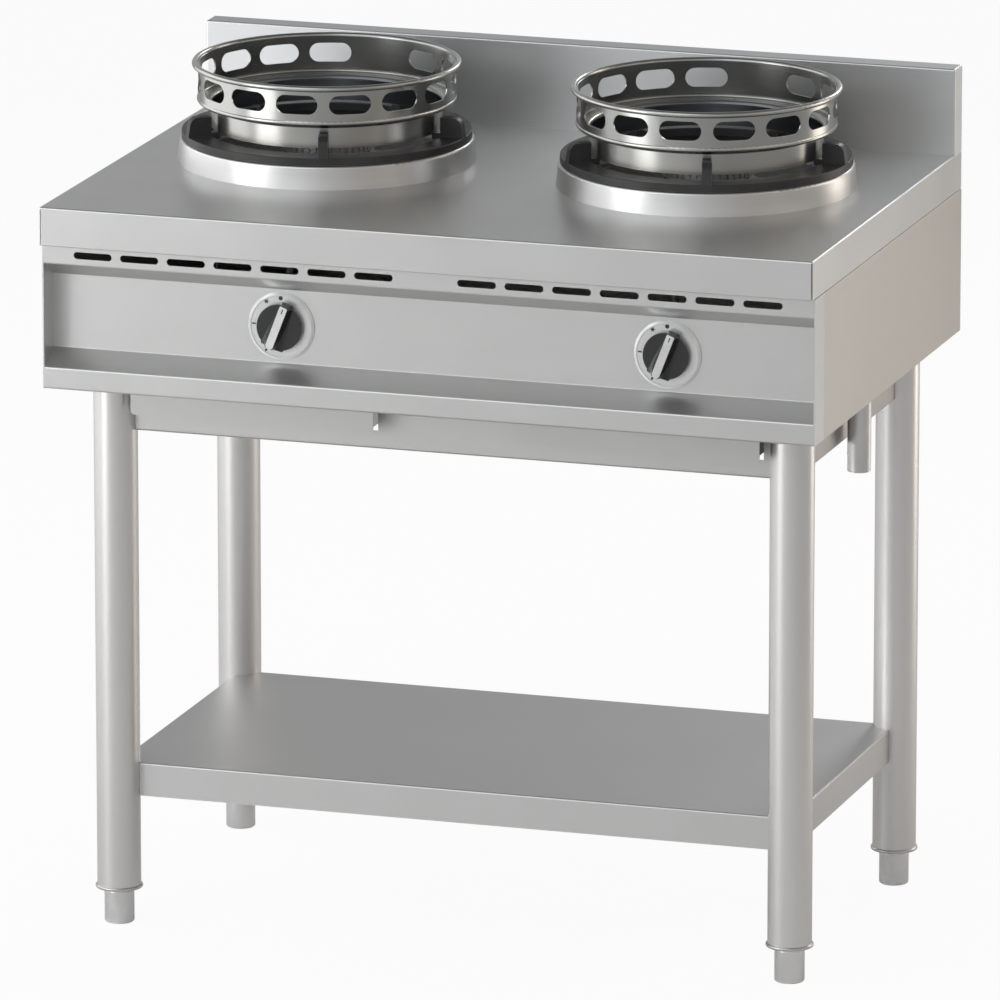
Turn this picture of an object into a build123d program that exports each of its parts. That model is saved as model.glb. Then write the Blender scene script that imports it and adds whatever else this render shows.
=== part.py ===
from build123d import *
import os
from math import cos, pi, radians, sin, sqrt

# Two-burner gas wok range on an open tube stand.
# Millimetres, +Z up, front towards -Y, origin on the floor below the middle of the worktop.

# ---------------------------------------------------------------- driving sizes
# worktop and backsplash
WIDTH = 900.0
DEPTH = 600.0
WORKTOP_HEIGHT = 850.0
APRON_HEIGHT = 44.0
WORKTOP_SHEET = 1.5
WORKTOP_EDGE_RADIUS = 2.0
CORNER_SLIT = 0.8
BACKSPLASH_HEIGHT = 100.0
BACKSPLASH_DEPTH = 30.0
BACKSPLASH_SHEET = 1.2

# cabinet
CABINET_DROP = 210.0
PANEL_SHEET = 1.5
FRONT_SETBACK = 10.0
BEND_RADIUS = 1.0
TOP_FLANGE = 20.0
FRONT_FLANGE = 118.0
SIDE_FLANGE = 65.0
REAR_FLANGE = 100.0
END_PLATE_DEPTH = 36.0
SIDE_TOP_RADIUS = 1.2
OVERLAP_STRIP = 30.0
OVERLAP_STRIP_WIDTH = 40.0

# control recess, measured down from the worktop's top face
RECESS_TOP_DROP = 66.0
RECESS_MOUTH = 119.5
RECESS_DEPTH = 31.0
RECESS_SLANT = 17.5

# vent slots above the recess
VENT_DROP = 54.6
VENT_LENGTH = 45.0
VENT_HEIGHT = 8.0
VENT_PITCH = 55.0
VENT_COUNT = 7
VENT_FIRST = 60.0

# burners
BURNER_SPACING = 450.0
BURNER_FROM_FRONT = 340.0
COLLAR_TOP_RADIUS = 167.4
COLLAR_TAPER = 2.1
COLLAR_LAND = 15.4
HOLE_BEYOND_LIP = 4.0
COLLAR_HEIGHT = 26.6
COLLAR_SHEET = 2.0
COLLAR_EDGE_RADIUS = 3.0
COLLAR_LIP_DROP = 6.0

# spun liner under each collar
LINER_SHEET = 1.2
LINER_FLANGE = 8.0
LINER_DROP = 18.0
LINER_HOLE_RADIUS = 68.0

# cast pan support
SUPPORT_TURN = 17.0
SUPPORT_OVERHANG = 13.0
SUPPORT_RIM_WIDTH = 28.5
SUPPORT_THICKNESS = 8.6
SUPPORT_EDGE_RADIUS = 1.2
SKIRT_THICKNESS = 6.0
SKIRT_HEIGHT = 8.0
SKIRT_CLEARANCE = 2.0
FIN_COUNT = 5
FIN_THICKNESS = 11.0
FIN_HEIGHT = 22.6
FIN_FOOT = 1.5
FIN_SLOPE = 3.4
FIN_CORNER_RADIUS = 10.0
FIN_INSET = 1.0
LEDGE_REACH = 10.0
LEDGE_RISE = 4.2
LEDGE_DEPTH = 11.5

# wok ring, a rolled and pierced sheet hoop
RING_SHEET = 1.5
RING_IN_FINS = 5.9
RING_FLARE = 14.9
RING_HEIGHT = 75.0
RING_STEP_START = 23.2
RING_STEP_HEIGHT = 9.0
RING_BEAD = 0.9
RING_ROLL_RADIUS = 3.4
RING_SLOT_POSITIONS = 15
RING_SLOT_BLANK = 6
RING_SLOT_LENGTH = 48.0
RING_SLOT_HEIGHT = 22.0
RING_SLOT_RISE = 52.4

# gas burner under each ring
BURNER_BAR_DROP = 65.0
BURNER_BAR_WIDTH = 60.0
BURNER_BAR_HEIGHT = 20.0
BOWL_RADIUS = 48.0
BOWL_TOP_RISE = 12.0
BOWL_WALL = 5.0
MIXER_DROP = 42.0
MIXER_THROAT_RADIUS = 14.0
MIXER_MOUTH_RADIUS = 21.0
MIXER_WALL = 3.0
MIXER_LENGTH = 205.0
MIXER_LIP = 6.0
MIXER_FLARE = 40.0
MIXER_SWELL = 3.0
BOWL_DEPTH = 16.0
CROWN_RADIUS = 50.0
CROWN_HEIGHT = 14.0
CROWN_PORTS = 36
CROWN_PORT_WIDTH = 2.6
CROWN_PORT_HEIGHT = 9.0
CROWN_PORT_DEPTH = 6.0
CROWN_SPIGOT = 6.0
PROBE_RADIUS = 2.5
INSULATOR_RADIUS = 4.5
PROBE_DISTANCE = 58.0
PROBE_SPREAD = 40.0
PROBE_TOP_RISE = 24.0

# gas train
KNOB_OFFSET = 46.7
MANIFOLD_RADIUS = 10.65
MANIFOLD_WALL = 2.3
MANIFOLD_DROP = 152.0
MANIFOLD_BEHIND_PANEL = 32.0
VALVE_BODY_RADIUS = 13.0
VALVE_BODY_LENGTH = 42.0
VALVE_BEHIND_PANEL = 6.0
VALVE_PORT_RADIUS = 9.0
VALVE_OUTLET_RISE = 22.0
MAGNET_RADIUS = 10.0
MAGNET_LENGTH = 20.0
PLUG_RADIUS = 8.5
PLUG_TIP_RADIUS = 7.0
PLUG_LENGTH = 24.0
PLUG_BEHIND_FACE = 7.0
PORT_GAP = 1.0
STEM_RADIUS = 4.0
STEM_FLAT = 3.0
STEM_TAIL_RADIUS = 3.0
FEED_RADIUS = 4.0
FEED_BEND = 12.0
INJECTOR_RADIUS = 9.0
INJECTOR_LENGTH = 24.0
INJECTOR_GAP = 9.0
INLET_RADIUS = 13.45
INLET_WALL = 2.65
INLET_FROM_SIDE = 30.0
INLET_FROM_FRONT = 291.0
INLET_BELOW_CABINET = 95.0
INLET_BEND = 34.0
INLET_SOCKET = 14.0
INLET_END_RADIUS = 13.2
INLET_END_LENGTH = 18.0
MANIFOLD_OVERRUN = 30.0

# dials and knobs
DIAL_RADIUS = 38.8
DIAL_THICKNESS = 3.2
DIAL_BEVEL = 3.4
KNOB_RADIUS = 26.5
KNOB_SKIRT = 3.0
KNOB_PUSH = 3.0
KNOB_PUSH_GAP = 0.5
KNOB_POINTER_TURN = 21.0
GRIP_HEIGHT = 12.4
GRIP_LENGTH = 51.5
GRIP_WIDTH = 10.5
GRIP_OFFSET = 2.4
GRIP_BASE_LENGTH = 55.0
GRIP_BASE_WIDTH = 29.0
GRIP_TIP_WIDTH = 13.5
GRIP_CORNER = 2.6
KNOB_BORE_BEYOND = 5.0
STRIP_THICKNESS = 0.9
STRIP_WIDTH = 9.0
STRIP_CORNER = 1.4

# stand
LEG_INSET = 52.5
LEG_FROM_FRONT = 103.0
LEG_FROM_BACK = 74.0
LEG_RADIUS = 25.0
LEG_WALL = 1.5
LEG_CAP = 5.0
RAIL_HEIGHT = 63.0
RAIL_WIDTH = 25.0
RAIL_SHEET = 1.5
RAIL_OUTSET = 4.0
FOOT_RADIUS = 17.0
FOOT_HEIGHT = 40.2
FOOT_CHAMFER = 1.5
FOOT_FLAT_DEPTH = 0.8
FOOT_FLAT_HEIGHT = 19.5
FOOT_GROOVE_DROP = 3.5
FOOT_GROOVE = 0.8
STUD_RADIUS = 8.0
STUD_LENGTH = 45.0
INSERT_FLANGE_RADIUS = 27.0
INSERT_FLANGE = 4.0
INSERT_SLEEVE = 32.0
BOLT_RADIUS = 5.0
BOLT_HEAD_RADIUS = 8.5
BOLT_HEAD_HEIGHT = 6.4

# shelf
SHELF_HEIGHT = 188.0
SHELF_APRON = 38.5
SHELF_SHEET = 1.5
SHELF_EDGE_RADIUS = 2.0

# crumb trays
TRAY_LEG_GAP = 12.5
TRAY_PLATE_OVERHANG = 8.5
TRAY_FROM_FRONT = 73.0
TRAY_LENGTH = 427.0
TRAY_WALL_HEIGHT = 22.0
TRAY_FRONT_HEIGHT = 34.0
TRAY_DROP = 38.0
TRAY_SHEET = 1.2
TRAY_CORNER = 4.0
CUTOUT_BESIDE_TRAY = 5.5
CUTOUT_BELOW_TRAY = 4.5
CUTOUT_ABOVE_TRAY = 4.0
RUNNER_REACH = 26.0
RUNNER_INSET = 2.0
RUNNER_SHEET = 1.5
RUNNER_LEG = 18.5

# clearances
TOUCH_GAP = 0.3
SEAM_GAP = 0.3
SHAFT_CLEARANCE = 0.05
LEG_CLEARANCE = 0.2
HOLE_CLEARANCE = 1.5

# ---------------------------------------------------------------- derived places
FRONT = -DEPTH / 2
BACK = DEPTH / 2
SIDE = WIDTH / 2
TOP = WORKTOP_HEIGHT
APRON_BOTTOM = TOP - APRON_HEIGHT
CABINET_BOTTOM = TOP - CABINET_DROP
PANEL_FRONT = FRONT + FRONT_SETBACK
RECESS_BACK = PANEL_FRONT + RECESS_DEPTH
RECESS_TOP = TOP - RECESS_TOP_DROP
RECESS_BOTTOM = RECESS_TOP - RECESS_MOUTH
END_PLATE_BACK = PANEL_FRONT + END_PLATE_DEPTH
BURNER_Y = FRONT + BURNER_FROM_FRONT
COLLAR_TOP = TOP + COLLAR_HEIGHT
COLLAR_FOOT_RADIUS = COLLAR_TOP_RADIUS + COLLAR_TAPER
COLLAR_LIP_RADIUS = COLLAR_TOP_RADIUS - COLLAR_LAND
WORKTOP_HOLE_RADIUS = COLLAR_LIP_RADIUS + HOLE_BEYOND_LIP
SUPPORT_OUTER_RADIUS = COLLAR_LIP_RADIUS + SUPPORT_OVERHANG
SUPPORT_INNER_RADIUS = SUPPORT_OUTER_RADIUS - SUPPORT_RIM_WIDTH
FIN_INNER_RADIUS = SUPPORT_INNER_RADIUS + FIN_INSET
LEDGE_INNER_RADIUS = FIN_INNER_RADIUS - LEDGE_REACH
RING_LOWER_RADIUS = FIN_INNER_RADIUS - RING_IN_FINS
RING_UPPER_RADIUS = RING_LOWER_RADIUS + RING_FLARE
SUPPORT_BOTTOM = COLLAR_TOP + TOUCH_GAP
SUPPORT_TOP = SUPPORT_BOTTOM + SUPPORT_THICKNESS
RING_BOTTOM = SUPPORT_TOP + LEDGE_RISE + TOUCH_GAP
BAR_TOP = TOP - BURNER_BAR_DROP
MIXER_Z = TOP - MIXER_DROP
BOWL_TOP = TOP + BOWL_TOP_RISE
MIXER_MOUTH_Y = BURNER_Y - MIXER_LENGTH
DIAL_Z = (RECESS_TOP + RECESS_BOTTOM) / 2
DIAL_FRONT = RECESS_BACK - DIAL_THICKNESS
KNOB_BACK = DIAL_FRONT - KNOB_PUSH - KNOB_PUSH_GAP
KNOB_FACE = KNOB_BACK - KNOB_SKIRT
GRIP_FACE = KNOB_FACE - GRIP_HEIGHT
VALVE_FRONT = RECESS_BACK + PANEL_SHEET + VALVE_BEHIND_PANEL
VALVE_BACK = VALVE_FRONT + VALVE_BODY_LENGTH
PLUG_FRONT = VALVE_FRONT + PLUG_BEHIND_FACE
FEED_Y = VALVE_FRONT + VALVE_BODY_LENGTH / 2
MANIFOLD_Y = FEED_Y
MANIFOLD_Z = TOP - MANIFOLD_DROP
PORT_FACE_Z = DIAL_Z - VALVE_BODY_RADIUS - PORT_GAP
OUTLET_FACE_Z = DIAL_Z + VALVE_OUTLET_RISE
INLET_X = SIDE - INLET_FROM_SIDE
INLET_Y = FRONT + INLET_FROM_FRONT
INLET_END_Z = CABINET_BOTTOM - INLET_BELOW_CABINET
LEG_X = SIDE - LEG_INSET
LEG_FRONT_Y = FRONT + LEG_FROM_FRONT
LEG_REAR_Y = BACK - LEG_FROM_BACK
RAIL_BOTTOM = CABINET_BOTTOM - RAIL_HEIGHT
INSERT_BOTTOM = FOOT_HEIGHT + TOUCH_GAP
LEG_BOTTOM = INSERT_BOTTOM + INSERT_FLANGE
TRAY_BOTTOM = CABINET_BOTTOM - TRAY_DROP
TRAY_FRONT_Y = FRONT + TRAY_FROM_FRONT
TRAY_HALF = LEG_X - LEG_RADIUS - TRAY_LEG_GAP - BURNER_SPACING / 2
TRAY_PLATE_HALF = TRAY_HALF + TRAY_PLATE_OVERHANG
CUTOUT_HALF = TRAY_HALF + CUTOUT_BESIDE_TRAY
RUNNER_OUTER = TRAY_HALF - RUNNER_INSET
CUTOUT_BOTTOM = TRAY_BOTTOM - CUTOUT_BELOW_TRAY
CUTOUT_TOP = TRAY_BOTTOM + TRAY_WALL_HEIGHT + CUTOUT_ABOVE_TRAY
SIDES = (("left", -1), ("right", 1))


# ---------------------------------------------------------------- helpers
def save(shape, node):
    export_step(shape, f"parts/{node}.step")


def block(x0, x1, y0, y1, z0, z1):
    """Box between two corners."""
    centre = Pos((x0 + x1) / 2, (y0 + y1) / 2, (z0 + z1) / 2)
    return centre * Box(x1 - x0, y1 - y0, z1 - z0)


def upright(x, y, z0, z1, radius):
    """Vertical cylinder from z0 to z1."""
    return Pos(x, y, (z0 + z1) / 2) * Cylinder(radius, z1 - z0)


def level(x, z, y0, y1, radius):
    """Cylinder along Y from y0 to y1."""
    return Pos(x, (y0 + y1) / 2, z) * Rot(90, 0, 0) * Cylinder(radius, y1 - y0)


def outline(points):
    """Face inside a closed run of straight lines."""
    return make_face(Polyline(*points, close=True))


def turned(points):
    """Solid of revolution about Z from an (r, z) outline."""
    return revolve(Plane.XZ * outline(points), Axis.Z)


def mitred(points, thickness):
    """The path shifted to its left by the thickness, with mitred corners."""
    normals = []
    for (u0, v0), (u1, v1) in zip(points, points[1:]):
        run = sqrt((u1 - u0) ** 2 + (v1 - v0) ** 2)
        normals.append(((v0 - v1) / run, (u1 - u0) / run))
    befores = [normals[0]] + normals
    afters = normals + [normals[-1]]
    shifted = []
    for (u, v), (a, b), (c, d) in zip(points, befores, afters):
        reach = thickness / (1 + a * c + b * d)
        shifted.append((u + reach * (a + c), v + reach * (b + d)))
    return shifted


def folded(points, thickness):
    """Section of a folded sheet: one face follows the points, the metal lies on their left."""
    inner = mitred(points, thickness)
    face = outline(points + inner[::-1])
    for before, here, after, partner in zip(points, points[1:], points[2:], inner[1:]):
        turn = (here[0] - before[0]) * (after[1] - here[1])
        turn -= (here[1] - before[1]) * (after[0] - here[0])
        near, far = (BEND_RADIUS, BEND_RADIUS + thickness)
        if turn > 0:
            near, far = (far, near)
        face = fillet(face.vertices().sort_by_distance(here)[0], near)
        face = fillet(face.vertices().sort_by_distance(partner)[0], far)
    return face


def burner_x(sign):
    return sign * BURNER_SPACING / 2


def knob_x(sign):
    return burner_x(sign) + KNOB_OFFSET


def at_burner(shape, sign):
    return Pos(burner_x(sign), BURNER_Y, 0) * shape


# ---------------------------------------------------------------- worktop
def worktop():
    shell = block(-SIDE, SIDE, FRONT, BACK, APRON_BOTTOM, TOP)
    rims = shell.edges().group_by(Axis.Z)[-1] + shell.edges().filter_by(Axis.Z)
    shell = fillet(rims, WORKTOP_EDGE_RADIUS)
    shell = fillet(shell.edges().group_by(Axis.Z)[0], WORKTOP_SHEET * 0.8)
    inner = SIDE - WORKTOP_SHEET
    shell -= block(
        -inner, inner, FRONT + WORKTOP_SHEET, BACK - WORKTOP_SHEET,
        APRON_BOTTOM, TOP - WORKTOP_SHEET,
    )
    for _, sign in SIDES:
        shell -= at_burner(upright(0, 0, APRON_BOTTOM, TOP + 1, WORKTOP_HOLE_RADIUS), sign)
        slit = sign * (inner - CORNER_SLIT / 2)
        shell -= block(
            slit - CORNER_SLIT / 2, slit + CORNER_SLIT / 2, FRONT, FRONT + WORKTOP_SHEET,
            APRON_BOTTOM, TOP - WORKTOP_EDGE_RADIUS,
        )
    return shell


def backsplash():
    shell = block(-SIDE, SIDE, BACK - BACKSPLASH_DEPTH, BACK, TOP, TOP + BACKSPLASH_HEIGHT)
    rims = shell.edges().group_by(Axis.Z)[-1] + shell.edges().filter_by(Axis.Z)
    shell = fillet(rims, WORKTOP_EDGE_RADIUS)
    shell -= block(
        -SIDE + BACKSPLASH_SHEET, SIDE - BACKSPLASH_SHEET,
        BACK - BACKSPLASH_DEPTH + BACKSPLASH_SHEET, BACK - BACKSPLASH_SHEET,
        TOP, TOP + BACKSPLASH_HEIGHT - BACKSPLASH_SHEET,
    )
    return shell


def burner_collar():
    """Polished spun ring: tapered wall, rolled shoulder and a level lip turned down inside."""
    shoulder = COLLAR_TOP_RADIUS - COLLAR_EDGE_RADIUS
    wall = Polyline(
        (COLLAR_FOOT_RADIUS, TOP), (COLLAR_TOP_RADIUS, COLLAR_TOP - COLLAR_EDGE_RADIUS)
    )
    roll = RadiusArc(wall @ 1, (shoulder, COLLAR_TOP), -COLLAR_EDGE_RADIUS)
    rest = Polyline(
        (shoulder, COLLAR_TOP),
        (COLLAR_LIP_RADIUS, COLLAR_TOP),
        (COLLAR_LIP_RADIUS, COLLAR_TOP - COLLAR_LIP_DROP),
        (COLLAR_LIP_RADIUS + COLLAR_SHEET, COLLAR_TOP - COLLAR_LIP_DROP),
        (COLLAR_LIP_RADIUS + COLLAR_SHEET, COLLAR_TOP - COLLAR_SHEET),
        (shoulder - COLLAR_SHEET / 2, COLLAR_TOP - COLLAR_SHEET),
        (COLLAR_TOP_RADIUS - COLLAR_SHEET, COLLAR_TOP - COLLAR_EDGE_RADIUS),
        (COLLAR_FOOT_RADIUS - COLLAR_SHEET, TOP),
        (COLLAR_FOOT_RADIUS, TOP),
    )
    section = make_face(wall + roll + rest)
    return revolve(Plane.XZ * section, Axis.Z)


def burner_liner():
    """Polished spun funnel hung in the worktop's hole, with a hole round the burner."""
    rim = WORKTOP_HOLE_RADIUS - 2 * CORNER_SLIT
    waist = LINER_HOLE_RADIUS + 6
    return turned([
        (WORKTOP_HOLE_RADIUS + LINER_FLANGE, TOP),
        (WORKTOP_HOLE_RADIUS + LINER_FLANGE, TOP + LINER_SHEET),
        (rim - LINER_SHEET, TOP + LINER_SHEET),
        (rim - 4 * LINER_SHEET, TOP - LINER_SHEET),
        (waist, TOP - LINER_DROP + LINER_SHEET),
        (LINER_HOLE_RADIUS, TOP - LINER_DROP + LINER_SHEET),
        (LINER_HOLE_RADIUS, TOP - LINER_DROP),
        (waist, TOP - LINER_DROP),
        (rim - 4 * LINER_SHEET, TOP - 2 * LINER_SHEET),
        (rim, TOP),
    ])


# ---------------------------------------------------------------- cast pan support
def fin():
    """One radial fin with its inner ledge, drawn in the (r, z) plane and given its thickness."""
    foot = SUPPORT_TOP - FIN_FOOT
    crest = SUPPORT_TOP + FIN_HEIGHT
    blade = outline([
        (FIN_INNER_RADIUS, foot),
        (SUPPORT_OUTER_RADIUS, foot),
        (SUPPORT_OUTER_RADIUS, SUPPORT_TOP),
        (SUPPORT_OUTER_RADIUS - FIN_SLOPE, crest),
        (FIN_INNER_RADIUS, crest),
    ])
    corner = (SUPPORT_OUTER_RADIUS - FIN_SLOPE, crest)
    blade_width = SUPPORT_OUTER_RADIUS - FIN_SLOPE - FIN_INNER_RADIUS
    rounding = min(FIN_CORNER_RADIUS, 0.8 * blade_width, 0.8 * FIN_HEIGHT)
    blade = fillet(blade.vertices().sort_by_distance(corner)[0], rounding)
    tip = blade.vertices().sort_by_distance((FIN_INNER_RADIUS, crest))[0]
    blade = fillet(tip, SUPPORT_EDGE_RADIUS)
    ledge_top = SUPPORT_TOP + LEDGE_RISE
    ledge = outline([
        (LEDGE_INNER_RADIUS, ledge_top - LEDGE_DEPTH * 0.6),
        (LEDGE_INNER_RADIUS, ledge_top),
        (FIN_INNER_RADIUS + 1, ledge_top),
        (FIN_INNER_RADIUS + 1, ledge_top - LEDGE_DEPTH),
    ])
    half = FIN_THICKNESS / 2
    return extrude(Plane.XZ * (blade + ledge), amount=half, both=True)


def pan_support():
    """Cast ring with a locating skirt, five standing fins and five ledges that carry the hoop."""
    skirt_outer = COLLAR_LIP_RADIUS - SKIRT_CLEARANCE
    ring = turned([
        (SUPPORT_INNER_RADIUS, SUPPORT_BOTTOM),
        (skirt_outer - SKIRT_THICKNESS, SUPPORT_BOTTOM),
        (skirt_outer - SKIRT_THICKNESS + 1, SUPPORT_BOTTOM - SKIRT_HEIGHT),
        (skirt_outer, SUPPORT_BOTTOM - SKIRT_HEIGHT),
        (skirt_outer, SUPPORT_BOTTOM),
        (SUPPORT_OUTER_RADIUS, SUPPORT_BOTTOM),
        (SUPPORT_OUTER_RADIUS, SUPPORT_TOP),
        (SUPPORT_INNER_RADIUS, SUPPORT_TOP),
    ])
    rim = ring.edges().group_by(Axis.Z)[-1]
    ring = fillet(rim, SUPPORT_EDGE_RADIUS)
    one = fin()
    for index in range(FIN_COUNT):
        ring += Rot(0, 0, SUPPORT_TURN - 90 + index * 360 / FIN_COUNT) * one
    return ring


# ---------------------------------------------------------------- wok ring
def ring_slot():
    """Stadium-shaped cutter through the hoop's wall, pointing along +X."""
    stadium = SlotOverall(RING_SLOT_LENGTH, RING_SLOT_HEIGHT)
    reach = RING_UPPER_RADIUS - 4 * RING_SHEET
    plane = Plane(origin=(reach, 0, RING_BOTTOM + RING_SLOT_RISE), x_dir=(0, 1, 0), z_dir=(1, 0, 0))
    return extrude(plane * stadium, amount=8 * RING_SHEET)


def wok_ring():
    """Hoop: plain lower band, swept step, pierced upper band and a rolled wire edge."""
    low = RING_LOWER_RADIUS
    high = RING_UPPER_RADIUS
    sheet = RING_SHEET
    step = RING_BOTTOM + RING_STEP_START
    knee = step + RING_STEP_HEIGHT / 2
    band = step + RING_STEP_HEIGHT + sheet
    brim = RING_BOTTOM + RING_HEIGHT - RING_ROLL_RADIUS
    outer = [
        Line((low, RING_BOTTOM), (low, step)),
        ThreePointArc((low, step), (low + sheet, knee - sheet), (low + 3 * sheet, knee)),
        Line((low + 3 * sheet, knee), (high - 2 * sheet, knee + sheet / 3)),
        ThreePointArc(
            (high - 2 * sheet, knee + sheet / 3), (high + RING_BEAD, knee + 1.7 * sheet),
            (high, band),
        ),
        Line((high, band), (high, brim)),
    ]
    inner = [
        Line((high, brim), (high - sheet, brim)),
        Line((high - sheet, brim), (high - sheet, band)),
        ThreePointArc(
            (high - sheet, band), (high - sheet / 2, knee + 2 * sheet),
            (high - 2 * sheet, knee + 1.4 * sheet),
        ),
        Line((high - 2 * sheet, knee + 1.4 * sheet), (low + 2 * sheet, knee + sheet)),
        ThreePointArc(
            (low + 2 * sheet, knee + sheet), (low - sheet / 2, knee - sheet / 2),
            (low - sheet, step),
        ),
        Line((low - sheet, step), (low - sheet, RING_BOTTOM)),
        Line((low - sheet, RING_BOTTOM), (low, RING_BOTTOM)),
    ]
    hoop = revolve(Plane.XZ * make_face(outer + inner), Axis.Z)
    roll_centre = high + RING_ROLL_RADIUS - sheet / 4
    hoop += Pos(0, 0, brim) * Torus(roll_centre, RING_ROLL_RADIUS)
    cutter = ring_slot()
    pitch = 360 / RING_SLOT_POSITIONS
    for index in range(RING_SLOT_POSITIONS):
        if index != RING_SLOT_BLANK:
            hoop -= Rot(0, 0, SUPPORT_TURN - 90 + (index + 0.5) * pitch) * cutter
    return hoop


# ---------------------------------------------------------------- burner
def burner_body():
    """Cast bowl on a foot, with the mixing tube running forward to its flared mouth."""
    chamber_floor = MIXER_Z - MIXER_THROAT_RADIUS - 2
    waist = MIXER_THROAT_RADIUS + MIXER_WALL + 4
    cast = turned([
        (0, BAR_TOP),
        (waist, BAR_TOP),
        (waist, MIXER_Z + 6),
        (BOWL_RADIUS, BOWL_TOP - BOWL_DEPTH),
        (BOWL_RADIUS, BOWL_TOP),
        (0, BOWL_TOP),
    ])
    flare = MIXER_MOUTH_RADIUS + MIXER_WALL
    throat = MIXER_THROAT_RADIUS + MIXER_WALL
    tube = revolve(
        Plane.XZ * outline([
            (0, 0),
            (flare, 0),
            (flare, MIXER_LIP),
            (throat, MIXER_FLARE),
            (throat, MIXER_LENGTH * 0.55),
            (throat + MIXER_SWELL, MIXER_LENGTH),
            (0, MIXER_LENGTH),
        ]),
        Axis.Z,
    )
    mouth = revolve(
        Plane.XZ * outline([
            (0, 0),
            (MIXER_MOUTH_RADIUS, 0),
            (MIXER_MOUTH_RADIUS, MIXER_LIP - MIXER_SWELL / 2),
            (MIXER_THROAT_RADIUS, MIXER_FLARE - MIXER_SWELL / 2),
            (MIXER_THROAT_RADIUS, MIXER_LENGTH),
            (0, MIXER_LENGTH),
        ]),
        Axis.Z,
    )
    chamber = turned([
        (0, chamber_floor),
        (MIXER_THROAT_RADIUS + 1.5, chamber_floor),
        (MIXER_THROAT_RADIUS + 1.5, MIXER_Z + 8),
        (BOWL_RADIUS - BOWL_WALL, BOWL_TOP - BOWL_DEPTH + 1),
        (BOWL_RADIUS - BOWL_WALL, BOWL_TOP),
        (0, BOWL_TOP),
    ])
    place = Pos(0, -MIXER_LENGTH, MIXER_Z) * Rot(-90, 0, 0)
    return cast + place * tube - (place * mouth + chamber)


def burner_crown():
    """Ported head: a spigot in the bowl, a ring of slots and a low domed top."""
    floor = BOWL_TOP + TOUCH_GAP
    rise = floor + CROWN_HEIGHT
    spigot = BOWL_RADIUS - BOWL_WALL - 0.5
    head = turned([
        (spigot - 3, floor - CROWN_SPIGOT),
        (spigot, floor - CROWN_SPIGOT),
        (spigot, floor),
        (CROWN_RADIUS, floor),
        (CROWN_RADIUS, rise - 2.5),
        (CROWN_RADIUS - 3, rise - 0.5),
        (CROWN_RADIUS * 0.45, rise + 2.0),
        (0, rise + 2.6),
        (0, rise - 1.5),
        (spigot - 3, rise - 3.5),
    ])
    port = block(
        CROWN_RADIUS - CROWN_PORT_DEPTH, CROWN_RADIUS + 1,
        -CROWN_PORT_WIDTH / 2, CROWN_PORT_WIDTH / 2,
        floor + 1.5, floor + 1.5 + CROWN_PORT_HEIGHT,
    )
    for index in range(CROWN_PORTS):
        head -= Rot(0, 0, (index + 0.5) * 360 / CROWN_PORTS) * port
    return head


def probe(radius, stem_radius, side):
    """Rod beside the crown on a bracket strip that is screwed to the bowl's wall."""
    angle = radians(90 + side * PROBE_SPREAD)
    x = PROBE_DISTANCE * cos(angle)
    y = PROBE_DISTANCE * sin(angle)
    foot = BOWL_TOP - 10
    rod = upright(x, y, foot - 22, BOWL_TOP + 4, radius)
    rod += upright(x, y, BOWL_TOP + 4, TOP + PROBE_TOP_RISE, stem_radius)
    tab = block(BOWL_RADIUS + TOUCH_GAP, PROBE_DISTANCE + radius + 2, -5, 5, foot - 2, foot)
    tab = Rot(0, 0, 90 + side * PROBE_SPREAD) * tab
    return rod + tab


def injector():
    """Jet holder: a hub before the mouth on a yoke whose two arms reach the mouth's rim."""
    hub_back = MIXER_MOUTH_Y - BURNER_Y - INJECTOR_GAP
    ring_radius = MIXER_MOUTH_RADIUS + MIXER_WALL / 2
    hub = level(0, MIXER_Z, hub_back - INJECTOR_LENGTH, hub_back, INJECTOR_RADIUS)
    hub += level(0, MIXER_Z, hub_back, hub_back + 5, INJECTOR_RADIUS / 2)
    bar = block(
        -ring_radius - 1.5, ring_radius + 1.5, hub_back - 5, hub_back, MIXER_Z - 5, MIXER_Z + 5
    )
    for _, sign in SIDES:
        arm = sign * ring_radius
        bar += block(
            arm - 1.5, arm + 1.5, hub_back - 5, MIXER_MOUTH_Y - BURNER_Y, MIXER_Z - 5, MIXER_Z + 5
        )
    return hub + bar


def burner_bar():
    """Folded channel across the cabinet; both burners stand on it."""
    half = BURNER_BAR_WIDTH / 2
    path = [
        (BURNER_Y - half, BAR_TOP - BURNER_BAR_HEIGHT),
        (BURNER_Y - half, BAR_TOP),
        (BURNER_Y + half, BAR_TOP),
        (BURNER_Y + half, BAR_TOP - BURNER_BAR_HEIGHT),
    ]
    section = folded(path[::-1], PANEL_SHEET)
    reach = SIDE - PANEL_SHEET
    return extrude(Plane.YZ * section, amount=reach, both=True)


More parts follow.
